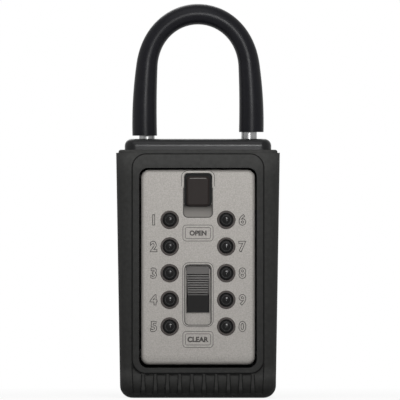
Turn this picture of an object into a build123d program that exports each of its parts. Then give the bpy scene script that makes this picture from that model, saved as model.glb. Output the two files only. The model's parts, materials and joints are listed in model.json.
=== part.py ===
from build123d import *
from math import cos, radians, sin
import os

# Portable key safe: a rubber-jacketed die-cast box with a push-button lid and a covered shackle.
# Lengths are in millimetres. +X is right, +Z is up and the front faces -Y.
# The origin is on the base, under the middle of the width and depth.

# Running and assembly clearances
FIT = 0.1
RUN = 0.05
SLIDE = 0.3

# Lid, and the opening it closes
LID_WIDTH = 44.1
LID_HEIGHT = 75.5
LID_CORNER = 3.0
LID_ROUND = 1.4
LID_RECESS = 1.0
LID_WALL = 2.0
LID_SIDE_WALL = 1.6
LID_TOP_WALL = 1.8
LID_DEPTH = 11.3
LID_GAP = 0.75
LID_GAP_BASE = 1.2
HINGE_BAR = 7.0
HINGE_SETBACK = 4.2
HINGE_RISE = 4.6
PIN_RADIUS = 1.5
PIN_IN_WALL = 2.4

# Box
SILL = 9.6
HEAD_SHOW = 4.2
BOX_SIDE_WALL = 5.6
BOX_BACK_WALL = 2.9
BOX_FRONT_CORNER = 4.2
BOX_BACK_CORNER = 4.0
BOX_BASE_ROUND = 3.0
HEAD_ROUND = 2.8
WELL_DEPTH = 12.6
COMPARTMENT_DEPTH = 20.0
LEDGE_SIDE = 2.0
LEDGE_BASE = 3.3
LEDGE_TOP = 2.65
COMPARTMENT_CORNER = 3.0

# Rubber jacket
JACKET_FRONT_WALL = 2.3
JACKET_BACK_WALL = 2.0
JACKET_BASE_WALL = 2.0
JACKET_SIDE_WALL = 3.25
JACKET_SIDE_WALL_BASE = 1.65
JACKET_FRONT_CORNER = 7.0
JACKET_BACK_CORNER = 6.2
JACKET_BASE_ROUND = 4.8
JACKET_TOP_ROUND = 1.0
LIP_INSET = 0.9
LIP_HEIGHT = 1.2
SHOULDER = 1.8
BEZEL_SIDE = 2.5
BEZEL_TOP = 5.25
BEZEL_BASE = 2.0
BEZEL_RAISE = 0.6
BEZEL_CORNER = 5.2
BEZEL_EDGE = 0.25
BEZEL_GROOVE = 0.35
BEZEL_GROOVE_DEPTH = 0.5
NOTCH_COUNT = 11
NOTCH_PITCH = 4.72
NOTCH_TOP_WIDTH = 3.3
NOTCH_BASE_WIDTH = 2.6
NOTCH_LOW = 1.2
NOTCH_TOP_DEPTH = 1.15
NOTCH_CROWN_DEPTH = 0.55
NOTCH_CROWN_RISE = 6.2
NOTCH_BASE_DEPTH = 2.3

# Shackle
ROD_RADIUS = 3.0
LEG_INSET = 8.55
LEG_SETBACK = 8.0
BOW_RISE = 28.65
LIFT = 24.0
TOE_CLEAR = 3.6
SLEEVE_END_RADIUS = 4.8
SLEEVE_END_SHIFT = 0.85
SLEEVE_KNEE_RADIUS = 4.56
SLEEVE_KNEE_SHIFT = 0.7
SLEEVE_KNEE_DROP = 10.5
SLEEVE_ROOT_RADIUS = 4.16
SLEEVE_SHOULDER_RADIUS = 3.94
SLEEVE_SHOULDER_SHIFT = -0.4
SLEEVE_SHOULDER_ANGLE = 24.0
SLEEVE_CROWN_RADIUS = 4.0
SLEEVE_HEEL_SHOW = 1.3
SLEEVE_TOE_SHOW = 2.7
BUSH_WALL = 1.1
BUSH_SINK = 0.3
CLIP_RADIUS = 4.4
CLIP_THICKNESS = 0.9
CLIP_GROOVE = 0.75
CLIP_GAP = 3.0
CLIP_RISE = 2.2
CLIP_ROOM = 0.4
TOE_NOTCH_DEPTH = 1.4
TOE_NOTCH_HEIGHT = 3.0
TOE_NOTCH_RISE = 2.0
TOE_BEVEL = 0.8

# Ten push buttons
ROWS = 5
BUTTON_COLUMN = 10.95
BUTTON_PITCH = 10.33
BUTTON_FIRST_ROW = 14.8
BUTTON_RADIUS = 2.28
BUTTON_PROUD = 0.9
BUTTON_CROWN = 0.55
BUTTON_TRAVEL = 2.0
FLANGE_RADIUS = 3.2
FLANGE_THICKNESS = 0.8
STEM_RADIUS = 1.5
STEM_SINK = 0.4
STEM_ROOM = 0.15
STEM_SLOT_WIDTH = 0.5
STEM_SLOT_DEPTH = 0.6
GATE_NOTCH = 0.7
RING_RADIUS = 3.6
RING_PROUD = 0.35
RING_BORE = 2.7
RING_TUBE = 3.05
RING_SLOPE = 0.35
RING_FIT = 0.02

# OPEN button and CLEAR slider with their recesses
RECESS_DEPTH = 2.0
RECESS_FLOOR = 1.2
RECESS_CORNER = 1.6
RIM_WIDTH = 0.75
RIM_RAISE = 0.25
OPEN_RIM_DROP = 4.2
OPEN_RECESS_WIDTH = 11.1
OPEN_RECESS_HEIGHT = 17.1
OPEN_RECESS_DOWN = 1.2
OPEN_WIDTH = 8.9
OPEN_FLANGE_WIDTH = 10.7
OPEN_FLANGE = 0.9
OPEN_HEIGHT = 11.5
OPEN_DOWN = 1.3
OPEN_PROUD = 0.6
OPEN_CORNER = 1.2
OPEN_BEVEL = 0.7
OPEN_BEVEL_DEPTH = 0.5
OPEN_TRAVEL = 3.5
CLEAR_RECESS_WIDTH = 10.1
CLEAR_RECESS_HEIGHT = 23.0
CLEAR_RECESS_RISE = 15.65
CLEAR_WIDTH = 8.8
CLEAR_CREST_WIDTH = 7.6
CLEAR_HEIGHT = 17.8
CLEAR_DOWN = 0.55
CLEAR_STRIP = 2.9
CLEAR_STRIP_SINK = 0.8
CLEAR_CREST = 6.7
CLEAR_CREST_PROUD = 0.8
CLEAR_RIBS = 9
CLEAR_GROOVE = 0.35
CLEAR_TRAVEL = 4.2
LABEL_WIDTH = 11.5
LABEL_HEIGHT = 6.0
LABEL_CORNER = 1.2
OPEN_LABEL_RISE = 51.0
CLEAR_LABEL_RISE = 9.8
POST_HALF = 2.0
POST_HEIGHT = 3.0
OPEN_POST_RISE = 4.5
CLEAR_POST_RISE = 7.8

# Plates and springs inside the lid
FINGER_PLATE = 0.3
FINGER_REACH = 2.6
FINGER_LENGTH = 2.6
FINGER_WIDTH = 1.6
GATE_PLATE = 1.2
RESET_PLATE = 1.0
PLATE_GAP = 0.4
PLATE_WEB = 4.05
PLATE_OVER = 7.5
RAIL_WIDTH = 1.0
EAR_HEIGHT = 2.2
EAR_RISE = 43.4
EAR_PAST = 0.525
SEAT_DROP = 12.3
SEAT_HEIGHT = 1.7
WAVE_LEGS = 7
WAVE_GAP = 0.775
WAVE_STRIP = 0.3
WAVE_WIDTH = 1.8
TONGUE_HALF = 4.0
CODE_PLATE = 1.2
CODE_PLATE_INSET = 0.85
CODE_PLATE_CORNER = 2.4
CODE_PLATE_LOW = 4.5
CODE_PLATE_TOP = 1.0
BOSS_RADIUS = 2.4
BOSS_INSET = 2.45
BOSS_LOW = 11.6
BOSS_HIGH = 5.4
PLATE_SCREW_RADIUS = 1.1
PLATE_SCREW_HEAD = 1.9
PLATE_SCREW_HEAD_HEIGHT = 0.7
PLATE_SCREW_LENGTH = 6.0

# Lid catch and its strike
CATCH_HALF = 5.0
CATCH_STRIP = 0.6
CATCH_FOOT = 30.4
CATCH_FOOT_LENGTH = 8.0
CATCH_JOG = 1.1
CATCH_RAMP = 3.3
CATCH_OVER = 4.0
CATCH_RIVET_RADIUS = 1.0
CATCH_RIVET_HEAD = 1.7
CATCH_RIVET_COLUMN = 2.7
STRIKE_HALF = 8.0
STRIKE_PLATE = 1.2
STRIKE_SETBACK = 5.1
POCKET_DEPTH = 6.4
POCKET_HEIGHT = 5.25
POCKET_SIDE = 1.0

# Gasket
GASKET = 1.2
GASKET_EDGE = 0.1

# Shackle catch and its release in the compartment
LATCH_STRIP = 0.7
LATCH_WIDTH = 6.0
LATCH_NOSE_WIDTH = 3.6
LATCH_NOSE = 2.4
LATCH_OFF_ROD = 1.5
LATCH_LENGTH = 24.6
LATCH_TAB = 9.0
LATCH_SCREW_RADIUS = 1.2
LATCH_SCREW_HEAD = 1.9
LATCH_SCREW_RISE = 5.5
LATCH_SCREW_LENGTH = 3.4
RELEASE_PLATE = 1.2
RELEASE_UNDER = 0.4
RELEASE_FRONT = 0.4
RELEASE_WIDTH = 5.6
RELEASE_LEFT = 5.0
RELEASE_FINGER = 0.9
RELEASE_FINGER_DROP = 4.9
RELEASE_TRAVEL = 3.0
RELEASE_TAB = 1.2
RELEASE_TAB_WIDTH = 8.0
RELEASE_TAB_DROP = 6.4
RELEASE_SCREWS = (1.0, 10.0)
RELEASE_SCREW_RADIUS = 0.95
RELEASE_SCREW_HEAD = 1.9
RELEASE_SCREW_HEIGHT = 0.8
RELEASE_SCREW_LENGTH = 4.5

# Key hook
HOOK_STRIP = 1.0
HOOK_WIDTH = 8.0
HOOK_LOW = 46.5
HOOK_PLATE = 10.0
HOOK_REACH = 6.0
HOOK_LIP = 4.0
HOOK_RIVET_RADIUS = 1.2
HOOK_RIVET_HEAD = 2.2
HOOK_RIVET_RISE = 7.0
HOOK_RIVET_LENGTH = 2.0

# Places worked out from the sizes, front to back
DEPTH = (JACKET_FRONT_WALL + FIT + WELL_DEPTH + COMPARTMENT_DEPTH + BOX_BACK_WALL + FIT
         + JACKET_BACK_WALL)
FRONT_Y = -DEPTH / 2
BACK_Y = DEPTH / 2
BODY_FRONT_Y = FRONT_Y + BEZEL_RAISE
BOX_FRONT_Y = FRONT_Y + JACKET_FRONT_WALL + FIT
LEDGE_Y = BOX_FRONT_Y + WELL_DEPTH
COMPARTMENT_BACK_Y = LEDGE_Y + COMPARTMENT_DEPTH
BOX_BACK_Y = COMPARTMENT_BACK_Y + BOX_BACK_WALL
LEG_Y = LEDGE_Y + LEG_SETBACK
LID_Y = FRONT_Y + LID_RECESS
LID_INSIDE_Y = LID_Y + LID_WALL
LID_BACK_Y = LID_Y + LID_DEPTH
CODE_PLATE_BACK_Y = LID_BACK_Y + CODE_PLATE
PIN_Y = LID_Y + HINGE_SETBACK
RECESS_Y = LID_Y + RECESS_DEPTH
BUTTON_Y = LID_Y - BUTTON_PROUD
FLANGE_Y = LID_INSIDE_Y + FIT
FINGER_Y = FLANGE_Y + FLANGE_THICKNESS + BUTTON_TRAVEL
GATE_Y = FINGER_Y + FINGER_PLATE + PLATE_GAP / 2
RESET_Y = GATE_Y + GATE_PLATE + PLATE_GAP
STEM_END_Y = CODE_PLATE_BACK_Y - STEM_SINK
STRIKE_Y = BOX_FRONT_Y + STRIKE_SETBACK

# Base to top
BOX_BASE_Z = JACKET_BASE_WALL + FIT
OPENING_LOW = BOX_BASE_Z + SILL
LID_LOW = OPENING_LOW + LID_GAP_BASE
LID_HIGH = LID_LOW + LID_HEIGHT
OPENING_HIGH = LID_HIGH + LID_GAP
BEZEL_LOW = OPENING_LOW - BEZEL_BASE
BEZEL_HIGH = OPENING_HIGH + BEZEL_TOP
JACKET_TOP_Z = BEZEL_HIGH + SHOULDER
HEAD_TOP_Z = JACKET_TOP_Z + HEAD_SHOW
COMPARTMENT_LOW = OPENING_LOW + LEDGE_BASE
COMPARTMENT_HIGH = OPENING_HIGH - LEDGE_TOP
BOW_Z = HEAD_TOP_Z + BOW_RISE
HEEL_Z = COMPARTMENT_HIGH - SLIDE - LIFT - CLIP_RISE - CLIP_THICKNESS - FIT
TOE_Z = HEAD_TOP_Z - LIFT + TOE_CLEAR
PIN_Z = LID_LOW + HINGE_RISE
LID_INSIDE_LOW = LID_LOW + HINGE_BAR
LID_INSIDE_HIGH = LID_HIGH - LID_TOP_WALL
BUTTON_LOW_Z = LID_LOW + BUTTON_FIRST_ROW
BUTTON_HIGH_Z = BUTTON_LOW_Z + (ROWS - 1) * BUTTON_PITCH
OPEN_RECESS_HIGH = LID_HIGH - OPEN_RECESS_DOWN
OPEN_RECESS_LOW = OPEN_RECESS_HIGH - OPEN_RECESS_HEIGHT
OPEN_HIGH = OPEN_RECESS_HIGH - OPEN_DOWN
OPEN_LOW = OPEN_HIGH - OPEN_HEIGHT
OPEN_POST = (OPEN_LOW + OPEN_POST_RISE, OPEN_LOW + OPEN_POST_RISE + POST_HEIGHT)
CLEAR_RECESS_LOW = LID_LOW + CLEAR_RECESS_RISE
CLEAR_RECESS_HIGH = CLEAR_RECESS_LOW + CLEAR_RECESS_HEIGHT
CLEAR_HIGH = CLEAR_RECESS_HIGH - CLEAR_DOWN
CLEAR_LOW = CLEAR_HIGH - CLEAR_HEIGHT
CLEAR_POST = (CLEAR_LOW + CLEAR_POST_RISE, CLEAR_LOW + CLEAR_POST_RISE + POST_HEIGHT)
EAR_Z = LID_LOW + EAR_RISE
SEAT_Z = EAR_Z - SEAT_DROP
CATCH_HIGH = LID_HIGH + CATCH_OVER
TOE_NOTCH_Z = TOE_Z + TOE_NOTCH_RISE
LATCH_NOSE_Z = TOE_NOTCH_Z + (TOE_NOTCH_HEIGHT - LATCH_NOSE) / 2
LATCH_LOW = LATCH_NOSE_Z + LATCH_NOSE - LATCH_LENGTH
RELEASE_HIGH = COMPARTMENT_HIGH - RELEASE_UNDER
RELEASE_LOW = RELEASE_HIGH - RELEASE_PLATE

# Side to side, as half widths
LID_HALF = LID_WIDTH / 2
LID_INSIDE_HALF = LID_HALF - LID_SIDE_WALL
OPENING_HALF = LID_HALF + LID_GAP
OPENING_CORNER = LID_CORNER + LID_GAP / 2
BOX_HALF = OPENING_HALF + BOX_SIDE_WALL
JACKET_HALF = BOX_HALF + FIT + JACKET_SIDE_WALL
JACKET_BASE_HALF = BOX_HALF + FIT + JACKET_SIDE_WALL_BASE
BEZEL_HALF = OPENING_HALF + BEZEL_SIDE
COMPARTMENT_HALF = OPENING_HALF - LEDGE_SIDE
PLATE_HALF = BUTTON_COLUMN + PLATE_WEB
RAIL_HALF = PLATE_HALF + SLIDE + RAIL_WIDTH
SPRING_ROOM = LID_INSIDE_HALF - RAIL_HALF
SPRING_X = LID_INSIDE_HALF - SPRING_ROOM / 2
BOSS_COLUMN = LID_INSIDE_HALF - BOSS_INSET
LEG_X = BOX_HALF - LEG_INSET
BUSH_RADIUS = ROD_RADIUS + RUN + BUSH_WALL
TOE_FLAT_X = LEG_X - ROD_RADIUS + TOE_NOTCH_DEPTH
LATCH_X = LEG_X - ROD_RADIUS - LATCH_OFF_ROD


def span(pair):
    """Middle and length of a low, high pair."""
    return (pair[0] + pair[1]) / 2, pair[1] - pair[0]


def block(x, y, z):
    """A box from three low, high pairs."""
    (x_mid, width), (y_mid, depth), (z_mid, height) = span(x), span(y), span(z)
    return Pos(x_mid, y_mid, z_mid) * Box(width, depth, height)


def upright(x, y, z, radius):
    """A cylinder along Z over a low, high pair."""
    middle, length = span(z)
    return Pos(x, y, middle) * Cylinder(radius, length)


def across(x, y, z, radius):
    """A cylinder along X over a low, high pair."""
    middle, length = span(x)
    return Pos(middle, y, z) * Rot(0, 90, 0) * Cylinder(radius, length)


def through(x, y, z, radius):
    """A cylinder along Y over a low, high pair."""
    middle, length = span(y)
    return Pos(x, middle, z) * Rot(90, 0, 0) * Cylinder(radius, length)


def window(half_width, z, corner):
    """A front-view outline with round corners."""
    middle, height = span(z)
    return Pos(0, middle) * RectangleRounded(2 * half_width, height, corner)


def front_slab(outline, y):
    """A front-view outline made solid over a near, far pair."""
    return extrude(Plane.XZ.offset(-y[1]) * outline, y[1] - y[0])


def side_slab(outline, x):
    """A side-view outline, drawn in y and z, made solid over a low, high pair."""
    return extrude(Plane.YZ.offset(x[0]) * outline, x[1] - x[0])


def bent_strip(points, thickness):
    """Outline of a flat strip whose middle line runs through points, with mitred bends."""
    line = [Vector(*point) for point in points]
    runs = [(after - here).normalized() for here, after in zip(line, line[1:])]
    sides = ([], [])
    for here, before, after in zip(line, runs[:1] + runs, runs + runs[-1:]):
        middle = (before + after).normalized()
        normal = Vector(-middle.Y, middle.X)
        reach = thickness / 2 / normal.dot(Vector(-before.Y, before.X))
        sides[0].append(here + normal * reach)
        sides[1].append(here - normal * reach)
    return make_face(Polyline(*sides[0], *reversed(sides[1]), close=True))


def plan_outline(half_width, y, z, corners):
    """A rectangle seen from above, with its front and back corners rounded."""
    middle, depth = span(y)
    outline = Pos(0, middle, z) * Rectangle(2 * half_width, depth)
    outline = fillet(outline.vertices().sort_by(Axis.Y)[:2], corners[0])
    return fillet(outline.vertices().sort_by(Axis.Y)[-2:], corners[1])


def box_form(grow=0.0):
    """The outside of the die-cast box, or the hollow that holds it with a little room."""
    outline = plan_outline(
        BOX_HALF + grow,
        (BOX_FRONT_Y - grow, BOX_BACK_Y + grow),
        BOX_BASE_Z - grow,
        (BOX_FRONT_CORNER + grow, BOX_BACK_CORNER + grow),
    )
    form = extrude(outline, HEAD_TOP_Z - BOX_BASE_Z + 2 * grow)
    form = fillet(form.edges().group_by(Axis.Z)[-1], HEAD_ROUND)
    return fillet(form.edges().group_by(Axis.Z)[0], BOX_BASE_ROUND + grow)


def tall_edges(form):
    """The edges that run most of the jacket's height, from front to back."""
    tall = [edge for edge in form.edges() if edge.bounding_box().size.Z > JACKET_TOP_Z / 2]
    return ShapeList(tall).sort_by(Axis.Y)


def jacket_form(inset=0.0):
    """The outside of the jacket without its bezel, tapered towards the base."""
    base, top = JACKET_BASE_HALF - inset, JACKET_HALF - inset
    outline = make_face(Polyline(
        (-base, inset), (base, inset), (top, JACKET_TOP_Z), (-top, JACKET_TOP_Z), close=True
    ))
    form = front_slab(outline, (BODY_FRONT_Y + inset, BACK_Y - inset))
    form = fillet(tall_edges(form)[:2], JACKET_FRONT_CORNER - inset)
    form = fillet(tall_edges(form)[-2:], JACKET_BACK_CORNER - inset)
    form = fillet(form.edges().group_by(Axis.Z)[0], JACKET_BASE_ROUND - inset)
    return fillet(form.edges().group_by(Axis.Z)[-1], JACKET_TOP_ROUND)


def leg_path(radius):
    """The shackle's bar, or its hollow at a larger radius: two legs and a half-round bow."""
    heel = upright(-LEG_X, LEG_Y, (HEEL_Z, BOW_Z), radius)
    toe = upright(LEG_X, LEG_Y, (TOE_Z, BOW_Z), radius)
    section = Plane.XY.offset(BOW_Z) * Pos(LEG_X, LEG_Y) * Circle(radius)
    bow = revolve(section, Axis((0, LEG_Y, BOW_Z), (0, -1, 0)), 180)
    return heel, toe, bow


def rows():
    """Name, place across and height of each button, 1 to 5 down the left and 6 to 0 down the right."""
    for side, first in ((-1, 1), (1, ROWS + 1)):
        for row in range(ROWS):
            yield (first + row) % (2 * ROWS), side * BUTTON_COLUMN, BUTTON_HIGH_Z - row * BUTTON_PITCH


def make_box():
    """Die-cast box: lid well, key compartment, leg bores, clip channel, strike pocket."""
    lid_well = front_slab(
        window(OPENING_HALF, (OPENING_LOW, OPENING_HIGH), OPENING_CORNER),
        (FRONT_Y, LEDGE_Y),
    )
    compartment = front_slab(
        window(COMPARTMENT_HALF, (COMPARTMENT_LOW, COMPARTMENT_HIGH), COMPARTMENT_CORNER),
        (LEDGE_Y - FIT, COMPARTMENT_BACK_Y),
    )
    body = box_form() - lid_well - compartment
    for x in (-LEG_X, LEG_X):
        body -= upright(x, LEG_Y, (COMPARTMENT_HIGH - FIT, HEAD_TOP_Z + FIT), BUSH_RADIUS)
    body -= upright(-LEG_X, LEG_Y, (HEEL_Z - CLIP_RISE, COMPARTMENT_HIGH), CLIP_RADIUS + CLIP_ROOM)
    body -= upright(LEG_X, LEG_Y, (TOE_Z - CLIP_RISE, COMPARTMENT_HIGH), ROD_RADIUS + SLIDE)
    pocket = STRIKE_HALF + POCKET_SIDE
    body -= block(
        (-pocket, pocket),
        (STRIKE_Y, STRIKE_Y + POCKET_DEPTH),
        (OPENING_HIGH - LID_GAP, OPENING_HIGH + POCKET_HEIGHT),
    )
    pin_end = OPENING_HALF + PIN_IN_WALL
    body -= across((-pin_end, pin_end), PIN_Y, PIN_Z, PIN_RADIUS + RUN / 2)
    body -= latch_screw_form()
    for x in RELEASE_SCREWS:
        body -= release_screw_form(x)
    return body - hook_rivet_form()


def make_jacket():
    """Rubber jacket: tapered cover with a raised bezel and a row of notches under it."""
    bezel = front_slab(
        window(BEZEL_HALF, (BEZEL_LOW, BEZEL_HIGH), BEZEL_CORNER), (FRONT_Y, BOX_FRONT_Y)
    )
    bezel = chamfer(bezel.edges().group_by(Axis.Y)[0], BEZEL_EDGE)
    bezel_room = front_slab(
        window(
            BEZEL_HALF + BEZEL_GROOVE,
            (BEZEL_LOW - BEZEL_GROOVE, BEZEL_HIGH + BEZEL_GROOVE),
            BEZEL_CORNER + BEZEL_GROOVE,
        ),
        (FRONT_Y, BOX_FRONT_Y),
    )
    groove_y = (BODY_FRONT_Y, BODY_FRONT_Y + BEZEL_GROOVE_DEPTH)
    groove = bezel_room & block((-JACKET_HALF, JACKET_HALF), groove_y, (0, JACKET_TOP_Z))
    notch_top = BEZEL_LOW - BEZEL_GROOVE
    splay = (NOTCH_TOP_WIDTH - NOTCH_BASE_WIDTH) / 2 / (notch_top - NOTCH_LOW)
    notch_high = BEZEL_LOW + BEZEL_CORNER
    high_half = NOTCH_BASE_WIDTH / 2 + splay * (notch_high - NOTCH_LOW)
    trapezium = make_face(Polyline(
        (-NOTCH_BASE_WIDTH / 2, NOTCH_LOW), (NOTCH_BASE_WIDTH / 2, NOTCH_LOW),
        (high_half, notch_high), (-high_half, notch_high), close=True,
    ))
    first = -(NOTCH_COUNT - 1) / 2 * NOTCH_PITCH
    notches = Sketch() + [Pos(first + n * NOTCH_PITCH, 0) * trapezium for n in range(NOTCH_COUNT)]
    crown = ThreePointArc(
        (BODY_FRONT_Y + NOTCH_TOP_DEPTH, notch_top),
        (BODY_FRONT_Y + NOTCH_CROWN_DEPTH, NOTCH_CROWN_RISE),
        (BODY_FRONT_Y + NOTCH_BASE_DEPTH, NOTCH_LOW),
    )
    mouth = Polyline(crown @ 1, (FRONT_Y, NOTCH_LOW), (FRONT_Y, notch_top), crown @ 0)
    notch_room = side_slab(make_face(crown + mouth), (-BEZEL_HALF, BEZEL_HALF))
    corners = front_slab(notches, (BODY_FRONT_Y, BODY_FRONT_Y + NOTCH_TOP_DEPTH))
    corners &= block((-BEZEL_HALF, BEZEL_HALF), (FRONT_Y, BOX_FRONT_Y), (notch_top, notch_high))
    cutters = (front_slab(notches, (FRONT_Y, BOX_FRONT_Y)) & notch_room) + corners - bezel_room
    opening = front_slab(
        window(OPENING_HALF, (OPENING_LOW, OPENING_HIGH), OPENING_CORNER),
        (FRONT_Y - FIT, BOX_FRONT_Y + FIT),
    )
    lip_z = (JACKET_TOP_Z - LIP_HEIGHT, JACKET_TOP_Z)
    around = ((-JACKET_HALF, JACKET_HALF), (BODY_FRONT_Y, BACK_Y))
    body = jacket_form() - block(*around, lip_z)
    lip = jacket_form(LIP_INSET) & block(*around, lip_z)
    return body + lip - groove - cutters + bezel - box_form(FIT) - opening


def make_shackle_rod():
    """Round steel bar bent to a U, with a clip groove in the heel and a catch notch in the toe."""
    heel, toe, bow = leg_path(ROD_RADIUS)
    heel = chamfer(heel.edges().group_by(Axis.Z)[0], TOE_BEVEL)
    toe = chamfer(toe.edges().group_by(Axis.Z)[0], TOE_BEVEL)
    groove_z = (HEEL_Z + CLIP_RISE, HEEL_Z + CLIP_RISE + CLIP_THICKNESS + FIT)
    groove = upright(-LEG_X, LEG_Y, groove_z, ROD_RADIUS + FIT)
    groove -= upright(-LEG_X, LEG_Y, groove_z, ROD_RADIUS - CLIP_GROOVE)
    notch = block(
        (LEG_X - ROD_RADIUS - FIT, TOE_FLAT_X),
        (LEG_Y - ROD_RADIUS, LEG_Y + ROD_RADIUS),
        (TOE_NOTCH_Z, TOE_NOTCH_Z + TOE_NOTCH_HEIGHT),
    )
    return heel + toe + bow - groove - notch


def bow_section(angle, shift, radius):
    """A circle across the bow at an angle from the toe side, shifted outwards from the bar."""
    turn = radians(angle)
    reach = LEG_X + shift
    place = (reach * cos(turn), LEG_Y, BOW_Z + reach * sin(turn))
    return Plane(place, x_dir=(0, 1, 0), z_dir=(-sin(turn), 0, cos(turn))) * Circle(radius)


def make_shackle_sleeve():
    """Vinyl sleeve: loose and full round the legs, drawn tight over the bow."""
    knee = BOW_Z - SLEEVE_KNEE_DROP
    legs = []
    for side, show in ((-1, SLEEVE_HEEL_SHOW), (1, SLEEVE_TOE_SHOW)):
        sections = [
            Pos(side * (LEG_X + shift), LEG_Y, z) * Circle(radius)
            for z, shift, radius in (
                (HEAD_TOP_Z + show, SLEEVE_END_SHIFT, SLEEVE_END_RADIUS),
                (knee, SLEEVE_KNEE_SHIFT, SLEEVE_KNEE_RADIUS),
                (BOW_Z, 0, SLEEVE_ROOT_RADIUS),
            )
        ]
        legs.append(loft(sections))
    bend = Plane.XZ.offset(-LEG_Y) * CenterArc((0, BOW_Z), LEG_X, 0, 180)
    angle = SLEEVE_SHOULDER_ANGLE
    sections = [
        bow_section(0, 0, SLEEVE_ROOT_RADIUS),
        bow_section(angle, SLEEVE_SHOULDER_SHIFT, SLEEVE_SHOULDER_RADIUS),
        bow_section(90, 0, SLEEVE_CROWN_RADIUS),
        bow_section(180 - angle, SLEEVE_SHOULDER_SHIFT, SLEEVE_SHOULDER_RADIUS),
        bow_section(180, 0, SLEEVE_ROOT_RADIUS),
    ]
    sleeve = sweep(sections, bend, multisection=True) + legs
    for hollow in leg_path(ROD_RADIUS + RUN):
        sleeve -= hollow
    return sleeve


def make_heel_clip():
    """Open retaining ring in the heel's groove."""
    z = (HEEL_Z + CLIP_RISE + FIT / 2, HEEL_Z + CLIP_RISE + FIT / 2 + CLIP_THICKNESS)
    ring = upright(-LEG_X, LEG_Y, z, CLIP_RADIUS)
    ring -= upright(-LEG_X, LEG_Y, z, ROD_RADIUS - CLIP_GROOVE + RUN)
    mouth = (LEG_Y - CLIP_GAP / 2, LEG_Y + CLIP_GAP / 2)
    return ring - block((-LEG_X, -LEG_X + CLIP_RADIUS + FIT), mouth, z)


def make_bushes():
    """Guide bushes for the two legs, pressed into the head."""
    z = (COMPARTMENT_HIGH, HEAD_TOP_Z - BUSH_SINK)
    return [
        upright(x, LEG_Y, z, BUSH_RADIUS) - upright(x, LEG_Y, z, ROD_RADIUS + RUN)
        for x in (-LEG_X, LEG_X)
    ]


def make_hinge_pin():
    """Steel pin across the lower end of the lid."""
    end = OPENING_HALF + PIN_IN_WALL
    return across((-end, end), PIN_Y, PIN_Z, PIN_RADIUS)


def make_gasket():
    """Flat seal on the ledge round the key compartment."""
    outer = window(
        OPENING_HALF - GASKET_EDGE,
        (OPENING_LOW + GASKET_EDGE, OPENING_HIGH - GASKET_EDGE),
        OPENING_CORNER,
    )
    inner = window(
        COMPARTMENT_HALF + GASKET_EDGE,
        (COMPARTMENT_LOW - GASKET_EDGE, COMPARTMENT_HIGH + GASKET_EDGE),
        COMPARTMENT_CORNER,
    )
    return front_slab(outer - inner, (LEDGE_Y - GASKET, LEDGE_Y))


def make_strike():
    """Hardened plate against the front of the strike pocket."""
    return block(
        (-STRIKE_HALF, STRIKE_HALF),
        (STRIKE_Y, STRIKE_Y + STRIKE_PLATE),
        (OPENING_HIGH + SLIDE, OPENING_HIGH + POCKET_HEIGHT - FIT),
    )


def make_shackle_catch():
    """Spring-steel strip: nose in the toe's notch, foot turned up against the wall."""
    low, high = LATCH_LOW, LATCH_NOSE_Z + LATCH_NOSE
    wall_x = COMPARTMENT_HALF - LATCH_STRIP / 2
    strip_x = LATCH_X - LATCH_STRIP / 2
    bottom = low + LATCH_STRIP / 2
    line = [(strip_x, high), (strip_x, bottom), (wall_x, bottom), (wall_x, low + LATCH_TAB)]
    y = (LEG_Y - LATCH_WIDTH / 2, LEG_Y + LATCH_WIDTH / 2)
    strip = front_slab(bent_strip(line, LATCH_STRIP), y)
    nose = block(
        (LATCH_X - LATCH_STRIP, TOE_FLAT_X - SLIDE / 2),
        (LEG_Y - LATCH_NOSE_WIDTH / 2, LEG_Y + LATCH_NOSE_WIDTH / 2),
        (LATCH_NOSE_Z, high),
    )
    return strip + nose - latch_screw_form()


def latch_screw_form():
    """Screw along X through the catch's foot into the wall."""
    z = LATCH_LOW + LATCH_SCREW_RISE
    head_x = COMPARTMENT_HALF - LATCH_STRIP
    shank = across((head_x, COMPARTMENT_HALF + LATCH_SCREW_LENGTH), LEG_Y, z, LATCH_SCREW_RADIUS)
    return shank + across((head_x - LATCH_STRIP, head_x), LEG_Y, z, LATCH_SCREW_HEAD)


def release_screw_form(x):
    """Shoulder screw up into the compartment's ceiling, on which the release slides."""
    y = release_depth()[0] + RELEASE_WIDTH - RELEASE_SCREW_HEAD
    low = RELEASE_LOW - FIT
    shank = upright(x, y, (low, COMPARTMENT_HIGH + RELEASE_SCREW_LENGTH), RELEASE_SCREW_RADIUS)
    return shank + upright(x, y, (low - RELEASE_SCREW_HEIGHT, low), RELEASE_SCREW_HEAD)


def release_depth():
    """Near and far faces of the release's plate."""
    return LEDGE_Y + RELEASE_FRONT, LEDGE_Y + RELEASE_FRONT + RELEASE_WIDTH


def make_release_slide():
    """Plate under the ceiling, with a thumb tab and a finger behind the catch."""
    near, far = release_depth()
    right = LATCH_X + SLIDE + RELEASE_FINGER
    plate = block((-RELEASE_LEFT, right), (near, far), (RELEASE_LOW, RELEASE_HIGH))
    tab = block(
        (-RELEASE_LEFT, -RELEASE_LEFT + RELEASE_TAB_WIDTH),
        (near, near + RELEASE_TAB),
        (RELEASE_LOW - RELEASE_TAB_DROP, RELEASE_LOW),
    )
    finger_y = (far - RELEASE_FINGER - LATCH_STRIP, LEG_Y - LATCH_NOSE_WIDTH / 2 - SLIDE)
    finger = block(
        (LATCH_X + SLIDE, right), finger_y, (RELEASE_LOW - RELEASE_FINGER_DROP, RELEASE_LOW)
    )
    slide = plate + tab + finger
    for x in RELEASE_SCREWS:
        slot_y = near + RELEASE_WIDTH - RELEASE_SCREW_HEAD
        half = RELEASE_SCREW_RADIUS + FIT
        slot = SlotCenterToCenter(RELEASE_TRAVEL, 2 * half)
        slide -= Pos(x + RELEASE_TRAVEL / 2, slot_y, RELEASE_LOW) * extrude(slot, RELEASE_PLATE)
    return slide


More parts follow.
